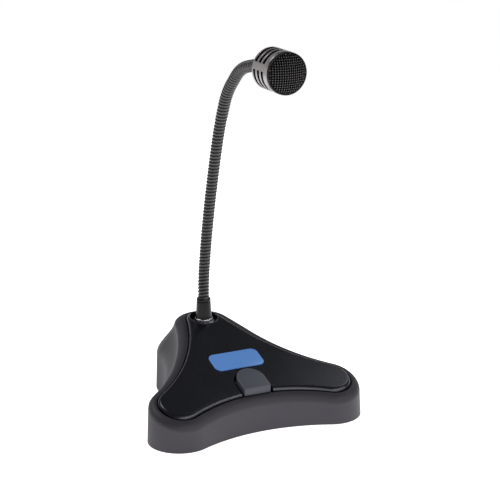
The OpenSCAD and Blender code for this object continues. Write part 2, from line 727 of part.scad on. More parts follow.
function section_profile(k) =
  let(
    first = k == 0,
    last = k == SECTIONS - 1,
    low = first ? rib_depth : cup_high,
    high = section_len - (last ? cap_len : ball_low)
  )
  concat(
    last ? [[section_len, neck_bore_r], [section_len, neck_r], [high + rib_depth, neck_r], [high, groove_r]]
      : ball_profile(),
    rib_profile(low, high),
    first ? [[0, neck_r], [-GRIP + seat_gap, neck_r], [-GRIP + seat_gap, neck_bore_r]] : cup_profile(),
    bore_profile(END_RUN, section_len - END_RUN)
  );
module neck_section(k) {
  color("#3c3839") skin([for (p = section_profile(k)) neck_ring(k, p[0], p[1])], loop = true);
}

// Frame of the head: Z along its axis, forward, from the barrel's rear edge
module in_head() {
  end = joint(SECTIONS);
  translate([0, end.x, end.y]) rotate([lean(SECTIONS), 0, 0]) children();
}

bore_r = barrel_r - barrel_t;
SPIGOT = 0.7;
// Depth of the rear cap's spigot and of the grille ring's spigot in the barrel
cap_in = slot_start - slot_w / 2;
ring_in = 4;
module head_cap() {
  t = 2;
  foot_r = neck_r + 3;
  color("#4a4748") in_head() rotate_extrude() polygon([
    [neck_r + slide_gap, -cap_len], [foot_r, -cap_len], [barrel_r - SPIGOT, -SPIGOT],
    [barrel_r - SPIGOT, 0], [bore_r - seat_gap, 0], [bore_r - seat_gap, cap_in], [bore_r - t, cap_in],
    [bore_r - t, SPIGOT], [neck_r + t, t - cap_len / 2], [neck_r + slide_gap, t - cap_len / 2]]);
}

module head_barrel() {
  edge = 0.5;
  span = 360 / slots_round;
  bridge = 2 * asin(bridge_w / 2 / barrel_r);
  color("#6e6d73") in_head() difference() {
    rotate_extrude() polygon([[bore_r, 0], [barrel_r - edge, 0], [barrel_r, edge],
      [barrel_r, barrel_len - edge], [barrel_r - edge, barrel_len], [bore_r, barrel_len]]);
    for (row = [0:slot_rows - 1], i = [0:slots_round - 1])
      translate([0, 0, slot_start + row * slot_pitch - slot_w / 2])
        rotate([0, 0, 180 - bridge_turn + bridge / 2 + i * span]) rotate_extrude(angle = span - bridge)
          translate([bore_r - 1, 0]) square([barrel_t + 2, slot_w]);
  }
}

// Cloth tube behind the slots
LINER_T = 1;
ring_low = barrel_len - ring_in;
CAPSULE_RING_T = 3.4;
capsule_ring_z = ring_low - CAPSULE_RING_T - seat_gap;
module head_liner() {
  r = bore_r - 2 * slide_gap;
  low = cap_in + seat_gap;
  color("#161616") in_head() translate([0, 0, low]) difference() {
    cylinder(r = r, h = capsule_ring_z - seat_gap - low);
    translate([0, 0, -1]) cylinder(r = r - LINER_T, h = capsule_ring_z - low + 2);
  }
}

// Microphone insert: a stepped can held at its front by the rubber ring
CAPSULE_LIP = 1;
module capsule() {
  step = capsule_len / 3;
  front = ring_low - seat_gap;
  color("silver") in_head() rotate_extrude() polygon([
    [0, front - capsule_len], [capsule_r - step, front - capsule_len], [capsule_r - step, front - 2 * step],
    [capsule_r, front - 2 * step], [capsule_r, front], [capsule_r - CAPSULE_LIP, front],
    [capsule_r - CAPSULE_LIP, front - CAPSULE_LIP], [0, front - CAPSULE_LIP]]);
}

DIAPHRAGM_T = 0.4;
module diaphragm() {
  r = capsule_r - CAPSULE_LIP - seat_gap;
  color("gold") in_head() translate([0, 0, ring_low - seat_gap - CAPSULE_LIP]) {
    cylinder(r = r, h = DIAPHRAGM_T);
    cylinder(r1 = r / 2, r2 = r / 3, h = 2 * DIAPHRAGM_T);
  }
}

module capsule_ring() {
  color("#1a1a1a") in_head() translate([0, 0, capsule_ring_z]) difference() {
    cylinder(r = bore_r - seat_gap, h = CAPSULE_RING_T);
    translate([0, 0, -1]) cylinder(r = capsule_r + seat_gap, h = CAPSULE_RING_T + 2);
  }
}

// Grille: a ring in the barrel's mouth carries two crossed layers of wire over a foam dome
RIM_T = 0.6;
RIM_H = 1.6;
RING_T = 0.8;
rim_r = barrel_r - slide_gap;
dome_r = rim_r - RIM_T - slide_gap - wire_d / 2;
rim_low = barrel_len + ring_gap;
rim_top = rim_low + RIM_H;
dome_z = rim_top - wire_d;
function dome_radius(h) = (dome_r * dome_r + h * h) / (2 * h);
module grille_ring() {
  spigot = bore_r - seat_gap;
  ledge = dome_z - wire_d;
  color("#161617") in_head() rotate_extrude() polygon([
    [spigot - RING_T, ring_low], [spigot, ring_low], [spigot, barrel_len], [rim_r - RIM_T, barrel_len],
    [rim_r - RIM_T, rim_low], [rim_r, rim_low], [rim_r, rim_top], [rim_r - RIM_T, rim_top],
    [rim_r - RIM_T, ledge], [spigot - RING_T, ledge]]);
}

module grille_foam() {
  r = dome_radius(dome_h);
  color("#0e0e0e") in_head() intersection() {
    translate([0, 0, dome_z + dome_h - r]) sphere(r = r - 2 * wire_d);
    translate([0, 0, ring_low])
      cylinder(r = bore_r - seat_gap - RING_T - slide_gap, h = ring_in + 2 * dome_h + RIM_H);
  }
}

// Woven screen: a thin dome left standing along two crossed rows of wires
module grille_mesh() {
  r = dome_radius(dome_h);
  rows = floor((dome_r - wire_d) / wire_pitch);
  color("#333334") in_head() intersection() {
    difference() {
      translate([0, 0, dome_z + dome_h - r]) sphere(r = r + wire_d / 2);
      translate([0, 0, dome_z + dome_h - r]) sphere(r = r - wire_d / 2);
    }
    translate([0, 0, dome_z]) cylinder(r = dome_r, h = 2 * dome_h);
    translate([0, 0, dome_z]) linear_extrude(height = 2 * dome_h) {
      for (i = [-rows:rows], a = [0, 90]) rotate([0, 0, a]) translate([i * wire_pitch, 0])
        square([wire_d, 3 * dome_r], center = true);
    }
  }
}

base_shell();
top_plate();
badge_plate();
bottom_plate();
rubber_feet();
bottom_screws();
ptt_button();
return_spring();
switch_body();
switch_plunger();
circuit_board();
board_posts();
board_screws();
lead_plug();
mic_lead();
cord_terminals();
cord_grommet();
neck_collar();
neck_bush();
bush_washer();
bush_nut();
neck_ferrule();
neck_section(0);  // neck_1
neck_section(1);  // neck_2
neck_section(2);  // neck_3
neck_section(3);  // neck_4
neck_section(4);  // neck_5
neck_section(5);  // neck_6
neck_section(6);  // neck_7
neck_section(7);  // neck_8
head_cap();
head_barrel();
head_liner();
capsule();
diaphragm();
capsule_ring();
grille_ring();
grille_foam();
grille_mesh();
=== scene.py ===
# Looks of the desk paging microphone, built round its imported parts. Sizes are in millimetres
# and become metres in each mesh. +Z is up and the front is -Y.
import json
import math

import bmesh
import bpy
import numpy as np
from mathutils import Matrix, Vector


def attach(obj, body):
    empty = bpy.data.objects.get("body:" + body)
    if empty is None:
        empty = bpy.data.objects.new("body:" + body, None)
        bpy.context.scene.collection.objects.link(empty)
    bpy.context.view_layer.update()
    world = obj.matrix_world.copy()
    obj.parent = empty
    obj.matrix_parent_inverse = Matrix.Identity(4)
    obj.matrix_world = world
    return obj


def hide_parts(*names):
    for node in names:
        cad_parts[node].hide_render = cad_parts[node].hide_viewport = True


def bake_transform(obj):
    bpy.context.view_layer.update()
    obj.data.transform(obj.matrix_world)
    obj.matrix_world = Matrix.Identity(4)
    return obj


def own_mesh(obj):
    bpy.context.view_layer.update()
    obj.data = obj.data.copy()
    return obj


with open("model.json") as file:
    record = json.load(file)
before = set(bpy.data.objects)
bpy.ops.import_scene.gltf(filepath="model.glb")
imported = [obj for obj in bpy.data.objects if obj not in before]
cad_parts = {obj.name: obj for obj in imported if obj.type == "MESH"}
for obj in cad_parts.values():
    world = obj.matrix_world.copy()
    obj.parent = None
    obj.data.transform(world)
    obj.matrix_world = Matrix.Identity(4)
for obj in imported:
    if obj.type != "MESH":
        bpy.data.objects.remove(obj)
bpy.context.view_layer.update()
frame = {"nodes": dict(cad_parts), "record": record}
scene = bpy.context.scene
MM = 0.001
TURN = 2 * math.pi
FIT_GAP, LOOSE_GAP = 0.05, 0.1

# Base: plan of three lobes, sloping edge line of the plate, shoulder, wall, rear flare and cord inlet
LOBE_X, LOBE_Y, LOBE_R = 70.5, -46.0, 17.8
TAIL_Y, TAIL_R = 58.2, 15.2
FRONT_HOLLOW_R, SIDE_HOLLOW_R = 152.0, 164.0
SKIRT_TAIL_Y, SKIRT_TAIL_R = 62.6, 40.4
EDGE_Z, TILT = 32.4, math.radians(18)
ARCH_Y, ARCH_R = 34.5, 156.0
SHOULDER_W, SHOULDER_DROP = 8.4, 6.5
WALL_DRAFT, WAIST_Z, SKIRT_Z, WALL_T = 1.0, 33.6, 0.3, 2.6
FLARE_LIP, FLARE_BIAS, FLARE_SLANT, TAIL_SWELL = 1.2, 0.85, 0.7, 3.0
LIP_R, LIP_DROP, FOOT_R = 0.5, 0.1, 0.7
INLET_R, INLET_Y, INLET_Z = 5.1, 103.6, 13

# Top plate, and the neck's seat in its recess
GROOVE_W, PLATE_RISE, PLATE_SEAT, DECK_T = 1.2, 2.4, 3.5, 3.0
RIM_W, RIM_DROP, CUT_EASE = 2.8, 2.0, 0.3
RECESS_R, BEAD_SINK, SEAT_DEPTH = 12.2, 0.2, 3
BOSS_R, BOSS_H, NECK_HOLE_R = 10.3, 8.3, 10.4

# Key, its stem and spring, and the badge
KEY_W, KEY_LEN, KEY_RISE, KEY_GAP, KEY_TRAVEL = 25.0, 25.3, 3.9, 2.2, 2.5
KEY_CORNER_R, KEY_EASE, KEY_CLEARANCE, KEY_SET_BACK = 1.2, 0.9, 0.3, 0.3
PLATE_FRONT = LOBE_Y - math.sqrt((FRONT_HOLLOW_R + LOBE_R) ** 2 - LOBE_X ** 2) + FRONT_HOLLOW_R
KEY_FRONT = PLATE_FRONT - GROOVE_W + KEY_SET_BACK
KEY_Y = KEY_FRONT + KEY_LEN - KEY_W / 2
STEM_W, STEM_Z, BARB_W, BARB_H = 12.0, 19.963, 1.0, 1.9
POCKET_R, POCKET_H, PLUNGER_R = 4.4, 12.0, 1.7
POCKET_ROOF = STEM_Z + POCKET_H
SPRING_R, SPRING_WIRE_R, SPRING_TURNS, SPRING_LOW = 3.5, 0.4, 6, 16.013
BADGE_W, BADGE_D, BADGE_T, BADGE_GAP, BADGE_EASE = 46.0, 23.0, 1.2, 3.4, 0.4
BADGE_Y = KEY_FRONT + KEY_LEN + KEY_GAP + BADGE_GAP + BADGE_D / 2 * math.cos(TILT)

# Neck: the rest bend of each section in degrees, the ribs wound round it, and its collar and ferrule
BENDS = (9.5, 3.0, 2.5, 2.0, 7.0, 22.5, 30.0, 13.5)
SECTION_LEN, END_RUN, NECK_Z = 36.4, 5.5, 84.5
BEND_REACH, NECK_TUCK = 17.5, 4
NECK_R, RIB_DEPTH, RIB_PITCH, RIB_ROUND = 5.1, 1.0, 3.2, 0.9
# Share of each rib's pitch, at the bottom of the groove, that is painted dark as shade
SHADED_GROOVE_SHARE = 0.38
COLLAR_R, COLLAR_TOP_R, COLLAR_H, COLLAR_WAIST, BUSH_R = 10.0, 8.3, 5.5, 0.55, 5.0
FERRULE_R, FERRULE_TOP_R, FERRULE_TOP_Z = 7.35, 6.3, NECK_Z + 0.8

# Head: slotted barrel, ring and domed mesh
BARREL_R, BARREL_LEN, BARREL_T, BARREL_EASE = 17.0, 25.5, 1.2, 0.3
SPIGOT_R = BARREL_R - BARREL_T - FIT_GAP
SLOT_W, SLOT_PITCH, SLOT_START, SLOT_ROWS = 3.6, 6.5, 4.1, 3
HOOP_R, HOOP_T, HOOP_H, RING_GAP = 16.9, 0.6, 1.1, 1.2
DOME_R, DOME_H, WIRE_D, WIRE_PITCH = 16.5, 4.9, 0.6, 1.9
DOME_Z = BARREL_LEN + RING_GAP + HOOP_H - WIRE_D
BALL_R = (DOME_R ** 2 + DOME_H ** 2) / (2 * DOME_H)
BALL_Z = DOME_Z + DOME_H - BALL_R


def mix(a, b, t):
    """What lies a share t of the way from a to b."""
    return a + (b - a) * t


def past_arch(y):
    """How far a Y lies behind the start of the arch."""
    return np.maximum(y - ARCH_Y, 0)


def edge(y):
    """Height of the plate's edge line at a given Y: a slope that arches over towards the neck."""
    return EDGE_Z + (y - LOBE_Y) * math.tan(TILT) - past_arch(y) ** 2 / (2 * ARCH_R)


def slope(y):
    """Angle of the edge line at a given Y."""
    return math.atan(math.tan(TILT) - past_arch(y) / ARCH_R)


NECK_SEAT = edge(TAIL_Y) - SEAT_DEPTH
AT_NECK = Matrix.Translation((0, TAIL_Y, 0))


# Meshes

def make_piece(name, points, faces, place=None):
    """A mesh piece from points in millimetres, moved by a matrix in millimetres."""
    mesh = bpy.data.meshes.new(name)
    points = np.asarray(points, float)
    if place is not None:
        turn = np.array(place)
        points = points @ turn[:3, :3].T + turn[:3, 3]
    mesh.from_pydata((points * MM).tolist(), [], faces)
    mesh.validate()
    piece = bpy.data.objects.new(name, mesh)
    scene.collection.objects.link(piece)
    return piece


def smooth(piece, crease=35):
    """Smooth shading, with hard edges where faces meet at more than crease degrees. Normals point out."""
    shape = bmesh.new()
    shape.from_mesh(piece.data)
    bmesh.ops.remove_doubles(shape, verts=shape.verts, dist=1e-7)
    bmesh.ops.recalc_face_normals(shape, faces=shape.faces)
    limit = math.radians(crease)
    for side in shape.faces:
        side.smooth = True
    for line in shape.edges:
        line.smooth = line.is_manifold and line.calc_face_angle(0) < limit
    shape.to_mesh(piece.data)
    shape.free()
    return piece


def settle(piece, *modifiers):
    """Applies modifiers, given as (type, settings), so the piece's mesh is its final one."""
    for kind, settings in modifiers:
        modifier = piece.modifiers.new(kind.lower(), kind)
        for key, value in settings.items():
            setattr(modifier, key, value)
    seen = piece.evaluated_get(bpy.context.evaluated_depsgraph_get())
    mesh = bpy.data.meshes.new_from_object(seen)
    piece.modifiers.clear()
    piece.data = mesh
    mesh.name = piece.name
    return piece


def eased(width, segments):
    """A modifier that rounds sharp edges."""
    sharp = {"limit_method": "ANGLE", "angle_limit": math.radians(50)}
    return "BEVEL", {"width": width * MM, "segments": segments, **sharp}


def cut_out(piece, cutter, operation="DIFFERENCE"):
    """Takes a closed shape out of a piece, or joins it on, and removes that shape."""
    smooth(cutter)
    smooth(piece)
    settle(piece, ("BOOLEAN", {"operation": operation, "object": cutter, "solver": "EXACT"}))
    bpy.data.objects.remove(cutter)


def taken_apart(piece):
    """A piece's points in millimetres and its faces. The piece itself is removed."""
    points = np.array([v.co for v in piece.data.vertices]) / MM
    faces = [tuple(side.vertices) for side in piece.data.polygons]
    bpy.data.objects.remove(piece)
    return points, faces


def lid(first, count, split, hub):
    """Faces over a ring whose two sides mirror each other: a fan from a hub up to a split, and
    strips from side to side after it."""
    spans = [(i, i + 1) for i in (*range(split), *range(count - split, count))]
    faces = [(hub, first + a, first + b % count) for a, b in [*spans, (split, count - split)]]
    for i in range(split, count // 2):
        corners = (i, i + 1, count - i - 1, count - i)
        faces.append(tuple(dict.fromkeys(first + c for c in corners)))
    return faces


def loft(rings, loop=False, arched=False):
    """Points and faces over rings of equal length. Open ends are closed by one face each, or by
    lids that follow the arched top."""
    count, last = len(rings[0]), len(rings) - 1
    points = np.concatenate([np.asarray(ring, float) for ring in rings])
    faces = []
    for k in range(last + 1 if loop else last):
        a, b = k * count, (k + 1) % len(rings) * count
        faces += [(a + i, b + i, b + (i + 1) % count, a + (i + 1) % count) for i in range(count)]
    if arched:
        for first in (0, last * count):
            ring = points[first:first + count]
            split = int(np.argmax(ring[:count // 2, 1] > ARCH_Y))
            faces += lid(first, count, split, len(points))
            points = np.vstack([points, (0, 0, ring[0, 2] + edge(0) - edge(ring[0, 1]))])
    elif not loop:
        faces += [tuple(range(count)), tuple(reversed(range(last * count, (last + 1) * count)))]
    return points, faces


def at_level(line, z):
    """A plan line laid flat at a height."""
    return np.column_stack([line, np.full(len(line), z)])


def prism(line, low, high):
    """Points and faces of an upright solid over a plan line."""
    return loft([at_level(np.array(line), z) for z in (low, high)])


def block(low, high):
    """Points and faces of a box between two corners."""
    (x0, y0, z0), (x1, y1, z1) = low, high
    return prism([(x0, y0), (x1, y0), (x1, y1), (x0, y1)], z0, z1)


def lathe(profile, count=128):
    """Points and faces of a closed profile of (radius, height) turned about Z."""
    angles = np.arange(count) * TURN / count
    ring = np.stack([np.cos(angles), np.sin(angles)], 1)
    return loft([at_level(ring * r, z) for r, z in profile], loop=True)


def drill(name, radius, low, high, place, count):
    """A round cutter."""
    core = 0.01
    profile = [(core, low), (radius, low), (radius, high), (core, high)]
    return make_piece(name, *lathe(profile, count), place)


def rounded(profile, radius, steps=4):
    """A closed profile with each corner rounded, as far as its neighbours leave room."""
    room = 0.45
    points = [np.array(p, float) for p in profile]
    out = []
    for i, p in enumerate(points):
        back, ahead = points[i - 1] - p, points[(i + 1) % len(points)] - p
        reach = min(radius, room * np.linalg.norm(back), room * np.linalg.norm(ahead))
        a = p + back / np.linalg.norm(back) * reach
        b = p + ahead / np.linalg.norm(ahead) * reach
        for t in np.linspace(0, 1, steps + 1):
            out.append((1 - t) ** 2 * a + 2 * t * (1 - t) * p + t * t * b)
    return out


def tube(route, radius, sides, across):
    """Points and faces of a tube with closed ends along a route of points."""
    route = np.asarray(route, float)
    way = np.gradient(route, axis=0)
    way /= np.linalg.norm(way, axis=1)[:, None]
    u = np.cross(across, way)
    u /= np.linalg.norm(u, axis=1)[:, None]
    v = np.cross(way, u)
    angles = np.arange(sides) * TURN / sides
    rings = []
    for p, a, b in zip(route, u, v):
        rings.append(p + radius * (np.outer(np.cos(angles), a) + np.outer(np.sin(angles), b)))
    return loft(rings)


def join(shapes):
    """Several (points, faces) as one."""
    points, faces, count = [], [], 0
    for some, sides in shapes:
        points.append(some)
        faces += [tuple(i + count for i in side) for side in sides]
        count += len(some)
    return np.concatenate(points), faces


def cut_sheet(name, line, low, high, radius, steps=5):
    """Points and faces of a flat shape with rounded edges, between two heights over a plan line."""
    curve = bpy.data.curves.new(name, "CURVE")
    curve.dimensions, curve.fill_mode = "2D", "BOTH"
    curve.extrude, curve.bevel_depth = (high - low) / 2 - radius, radius
    curve.bevel_resolution, curve.offset = steps, -radius
    spline = curve.splines.new("POLY")
    spline.points.add(len(line) - 1)
    for point, (x, y) in zip(spline.points, line):
        point.co = (x, y, 0, 1)
    spline.use_cyclic_u = True
    holder = bpy.data.objects.new(name + "_curve", curve)
    scene.collection.objects.link(holder)
    seen = holder.evaluated_get(bpy.context.evaluated_depsgraph_get())
    mesh = bpy.data.meshes.new_from_object(seen)
    points = np.array([v.co for v in mesh.vertices]) + (0, 0, (low + high) / 2)
    faces = [tuple(side.vertices) for side in mesh.polygons]
    bpy.data.objects.remove(holder)
    bpy.data.curves.remove(curve)
    bpy.data.meshes.remove(mesh)
    return points, faces


def on_top(points, faces):
    """A flat shape, with heights counted from the plate's edge line, cut into strips where the top
    arches and lifted onto it."""
    strip = 2.5
    shape = bmesh.new()
    corners = [shape.verts.new(p) for p in points]
    for side in faces:
        shape.faces.new([corners[i] for i in side])
    for y in np.arange(ARCH_Y, TAIL_Y + TAIL_R, strip):
        parts = [*shape.verts, *shape.edges, *shape.faces]
        bmesh.ops.bisect_plane(shape, geom=parts, dist=1e-4, plane_co=(0, y, 0), plane_no=(0, 1, 0))
    shape.verts.index_update()
    lifted = np.array([v.co for v in shape.verts])
    strips = [tuple(v.index for v in side.verts) for side in shape.faces]
    shape.free()
    lifted[:, 2] += edge(lifted[:, 1])
    return lifted, strips


def slope_place(y, rise):
    """Frame on the top at a given Y, raised from the plate's edge line."""
    return Matrix.Translation((0, y, edge(y) + rise)) @ Matrix.Rotation(slope(y), 4, "X")


# Base outline

def arc(centre, radius, start, end, count):
    """Points along an arc, without its last one."""
    angles = start + (end - start) * np.arange(count) / count
    return np.array(centre) + radius * np.stack([np.cos(angles), np.sin(angles)], 1)


def bearing(a, b):
    """Angle of the way from a to b."""
    return math.atan2(b[1] - a[1], b[0] - a[0])


def outline(r_lobe, r_tail, y_tail, r_front, r_side):
    """Three lobes joined by three hollow arcs, counter-clockwise from the middle of the front."""
    lobe, tail = np.array([LOBE_X, LOBE_Y]), np.array([0.0, y_tail])
    front = np.array([0, LOBE_Y - math.sqrt((r_front + r_lobe) ** 2 - LOBE_X ** 2)])
    a, b = r_lobe + r_side, r_tail + r_side
    gap = np.linalg.norm(tail - lobe)
    way = (tail - lobe) / gap
    k = (a * a - b * b + gap * gap) / (2 * gap)
    side = lobe + k * way + math.sqrt(a * a - k * k) * np.array([way[1], -way[0]])
    at_front, at_lobe, at_tail = bearing(front, lobe), bearing(lobe, side), bearing(tail, side)
    half = np.concatenate([
        arc(front, r_front, math.pi / 2, at_front, 24),
        arc(lobe, r_lobe, at_front - math.pi, at_lobe, 44),
        arc(side, r_side, at_lobe + math.pi, at_tail + math.pi, 40),
        arc(tail, r_tail, at_tail, math.pi / 2, 28),
    ])
    return np.concatenate([half, [[0, y_tail + r_tail]], half[:0:-1] * (-1, 1)])


def plate_line(o, swell=0):
    """The plate's outline moved outwards by o, and further round the tail by a swell."""
    return outline(LOBE_R + o, TAIL_R + o + swell, TAIL_Y, FRONT_HOLLOW_R - o, SIDE_HOLLOW_R - o)


def skirt_line(o):
    """The wall's outline moved outwards by o."""
    s = SHOULDER_W + o
    return outline(LOBE_R + s, SKIRT_TAIL_R + o, SKIRT_TAIL_Y, FRONT_HOLLOW_R - s, SIDE_HOLLOW_R - s)


def on_edge(line, dz):
    """A plan line laid on the sloping edge line, raised by dz."""
    return np.column_stack([line, edge(line[:, 1]) + dz])


def flare(t, inset):
    """Ring of the wall from the waist, at 0, up to the shoulder's foot, at 1."""
    low, high = skirt_line(-inset), plate_line(SHOULDER_W - inset, TAIL_SWELL)
    u = t ** FLARE_BIAS
    ease = u * u * (3 - 2 * u) - FLARE_SLANT * u * u * (1 - u)
    z0 = np.minimum(WAIST_Z, edge(low[:, 1]) - SHOULDER_DROP - FLARE_LIP)
    z1 = edge(high[:, 1]) - SHOULDER_DROP
    return np.column_stack([mix(low, high, ease), mix(z0, z1, t)])


def shoulder(angle):
    """Ring of the rounded shoulder, from its foot, at 0, to the groove, at a quarter turn."""
    reach = math.cos(angle)
    line = plate_line(GROOVE_W + (SHOULDER_W - GROOVE_W) * reach, TAIL_SWELL * reach)
    return on_edge(line, SHOULDER_DROP * (math.sin(angle) - 1))


# Finishes

MIX_A, MIX_B, MIX_OUT = 6, 7, 2     # colour sockets of a Mix node


class Tone:
    """A socket in a node tree. Arithmetic on it adds Math nodes."""

    def __init__(self, owner, socket):
        self.owner, self.socket = owner, socket

    def maths(self, operation, *values):
        return self.owner.node("Math", {"operation": operation}, dict(enumerate(values)))

    def __add__(self, other):
        return self.maths("ADD", self, other)

    def __sub__(self, other):
        return self.maths("SUBTRACT", self, other)

    def __rsub__(self, other):
        return self.maths("SUBTRACT", other, self)

    def __mul__(self, other):
        return self.maths("MULTIPLY", self, other)

    __radd__, __rmul__ = __add__, __mul__


class Tree:
    """A node tree, written as expressions."""

    def __init__(self, tree):
        self.tree = tree
        tree.nodes.clear()

    def node(self, kind, settings=None, sockets=None, out=0):
        """Adds a node by its type, its settings and its sockets' values or links, and gives one output."""
        made = self.tree.nodes.new("ShaderNode" + kind)
        for key, value in (settings or {}).items():
            setattr(made, key, value)
        for key, value in (sockets or {}).items():
            self.feed(made.inputs[key], value)
        return Tone(self, made.outputs[out] if made.outputs else None)

    def feed(self, socket, value):
        """Links a tone to a socket, or sets the socket's value."""
        if isinstance(value, Tone):
            self.tree.links.new(value.socket, socket)
        else:
            socket.default_value = value

    def blend(self, mask, low, high):
        """Colour that goes from low to high with a mask."""
        colours = {MIX_A: (*low, 1) if isinstance(low, tuple) else low, MIX_B: (*high, 1)}
        return self.node("Mix", {"data_type": "RGBA"}, {"Factor": mask, **colours}, out=MIX_OUT)

    def distance(self, place, point):
        """How far a place is from a point."""
        return self.node("VectorMath", {"operation": "DISTANCE"}, {0: place, 1: point}, out="Value")


class Finish(Tree):
    """A procedural material: a Principled surface fed by patterns in the piece's own space."""

    def __init__(self, name, **sockets):
        self.material = bpy.data.materials.new(name + "_finish")
        self.material.use_nodes = True
        super().__init__(self.material.node_tree)
        self.place = self.node("TexCoord", out="Object")
        shader = self.node("BsdfPrincipled")
        self.surface = shader.socket.node
        self.node("OutputMaterial", {}, {"Surface": shader})
        self.set(**sockets)

    def set(self, **sockets):
        """Values or links of the surface's sockets, by name with _ for a space."""
        for key, value in sockets.items():
            self.feed(self.surface.inputs[key.replace("_", " ")], value)
        return self

    def noise(self, size, detail=3.0, stretch=(1, 1, 1)):
        """Noise from 0 to 1 with features of about size millimetres."""
        scale = tuple(s / (size * MM) for s in stretch)
        where = self.node("Mapping", {}, {"Vector": self.place, "Scale": scale})
        return self.node("TexNoise", {}, {"Vector": where, "Scale": 1.0, "Detail": detail}, out="Fac")

    def bump(self, height, depth):
        """Relief of the given depth in millimetres."""
        relief = self.node("Bump", {}, {"Height": height, "Distance": depth * MM}, out="Normal")
        return self.set(Normal=relief)

    def grained(self, fine, cloud, dark, light, roughness, relief, share, fine_sheen, cloud_sheen):
        """Colour and sheen from a fine grain and a broad cloud, and relief from the grain. The share
        is the grain's part in the colour, and the sheens are how far each sways the roughness."""
        colour = self.blend(fine * share + cloud * (1 - share), srgb(*dark), srgb(*light))
        even = roughness - (fine_sheen + cloud_sheen) / 2
        self.set(Base_Color=colour, Roughness=fine * fine_sheen + cloud * cloud_sheen + even)
        return self.bump(fine, relief)


def srgb(*levels):
    """Linear colour from 8-bit screen levels."""
    shares = (v / 255 for v in levels)
    return tuple(c / 12.92 if c <= 0.04045 else ((c + 0.055) / 1.055) ** 2.4 for c in shares)


def moulded(name, dark, light, grain, roughness, level, relief):
    """Moulded plastic: fine spark texture, faint cloudiness and uneven sheen."""
    finish = Finish(name, Specular_IOR_Level=level)
    spark, cloud = finish.noise(grain, detail=2.0), finish.noise(28, detail=2.0)
    return finish.grained(spark, cloud, dark, light, roughness, relief,
                          share=0.25, fine_sheen=0.08, cloud_sheen=0.1)


def metal(name, dark, light, grain, roughness, metallic, relief, stretch=(1, 1, 1)):
    """Plated or painted metal with fine drawn or sprayed grain."""
    finish = Finish(name, Metallic=metallic, Specular_IOR_Level=0.25)
    fine, cloud = finish.noise(grain, stretch=stretch), finish.noise(14, detail=2.0)
    return finish.grained(fine, cloud, dark, light, roughness, relief,
                          share=0.4, fine_sheen=0.16, cloud_sheen=0.08)


def cloth(name, dark, light, thread):
    """Black cloth or open foam: dark pits between paler threads."""
    finish = Finish(name, Roughness=0.95, Specular_IOR_Level=0.1)
    pattern = {"Vector": finish.place, "Scale": 1 / (thread * MM)}
    pits = finish.node("TexVoronoi", {}, pattern, out="Distance")
    finish.set(Base_Color=finish.blend(pits, srgb(*dark), srgb(*light)))
    return finish.bump(pits, depth=0.25)


# Plastics and rubber: dark and light screen levels, grain size, roughness, specular level and
# depth of relief
MOULDED = {
    "shell_grey": ((16, 14, 19), (21, 19, 24), 0.5, 0.56, 0.73, 0.02),
    "plate_black": ((12, 13, 17), (16, 17, 21), 0.45, 0.22, 0.5, 0.008),
    "key_grey": ((60, 63, 72), (68, 71, 80), 0.6, 0.38, 0.4, 0.03),
    "badge_blue": ((76, 122, 186), (86, 132, 194), 0.8, 0.24, 0.3, 0.006),
    # rib_shade and slot_shade are painted shade: the neck's groove bottoms and the barrel's slot walls and
    # inside
    "rib_shade": ((16, 15, 15), (22, 21, 21), 0.5, 0.6, 0.3, 0.03),
    "slot_shade": ((6, 6, 6), (11, 11, 11), 0.5, 0.7, 0.05, 0.03),
    "black_rubber": ((22, 22, 23), (36, 36, 37), 0.7, 0.72, 0.2, 0.05),
    "black_plastic": ((20, 20, 21), (30, 30, 32), 0.5, 0.4, 0.2, 0.03),
    "white_plastic": ((205, 203, 196), (222, 220, 214), 0.6, 0.42, 0.4, 0.03),
    "green_plastic": ((40, 112, 70), (54, 130, 84), 0.6, 0.4, 0.4, 0.03),
    "board_green": ((14, 60, 30), (24, 78, 42), 1.4, 0.34, 0.5, 0.02),
}

# Metals: dark and light screen levels, grain size, roughness, metallic, depth of relief, and how
# much finer the grain is along each axis
METALS = {
    "collar_black": ((164, 164, 167), (178, 178, 181), 0.8, 0.2, 1.0, 0.001),
    "neck_black": ((44, 41, 41), (56, 53, 53), 0.4, 0.32, 0.15, 0.02),
    "sleeve_black": ((14, 13, 13), (20, 18, 19), 0.5, 0.25, 0.2, 0.02),
    "head_grey": ((138, 134, 135), (152, 148, 149), 0.35, 0.33, 1.0, 0.02),
    "grille_black": ((30, 29, 29), (42, 40, 40), 0.3, 0.2, 0.7, 0.02),
    "bright_steel": ((150, 150, 152), (185, 185, 187), 0.5, 0.36, 1.0, 0.02, (1, 1, 6)),
    "plate_steel": ((58, 58, 60), (76, 76, 78), 0.6, 0.48, 0.6, 0.02),
    "brass_foil": ((170, 140, 70), (196, 166, 96), 0.5, 0.3, 1.0, 0.02),
}

finishes = {name: moulded(name, *row) for name, row in MOULDED.items()}
finishes.update({name: metal(name, *row) for name, row in METALS.items()})
finishes["black_cloth"] = cloth("black_cloth", (10, 10, 10), (30, 30, 31), 0.9)
finishes["shell_grey"].set(Specular_Tint=(1.0, 0.95, 1.08, 1))
finishes["plate_black"].set(Specular_Tint=(0.96, 0.97, 1.1, 1))
finishes["badge_blue"].set(Coat_Weight=0.3, Coat_Roughness=0.08)
finishes["neck_black"].set(Specular_IOR_Level=0.9)


def dress(piece, finish, body=None, replaces=(), painted_shade=None):
    """Gives a piece its finish, a second finish of painted shade for its inner faces or grooves, and its
    body, and hides the imported parts it stands for."""
    places = piece.data.materials
    # The second material, when given, is painted shade
    for i, name in enumerate([finish, painted_shade] if painted_shade else [finish]):
        if i < len(places):
            places[i] = finishes[name].material
        else:
            places.append(finishes[name].material)
    if body:
        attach(piece, body)
    if replaces:
        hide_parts(*replaces)


# Base pieces

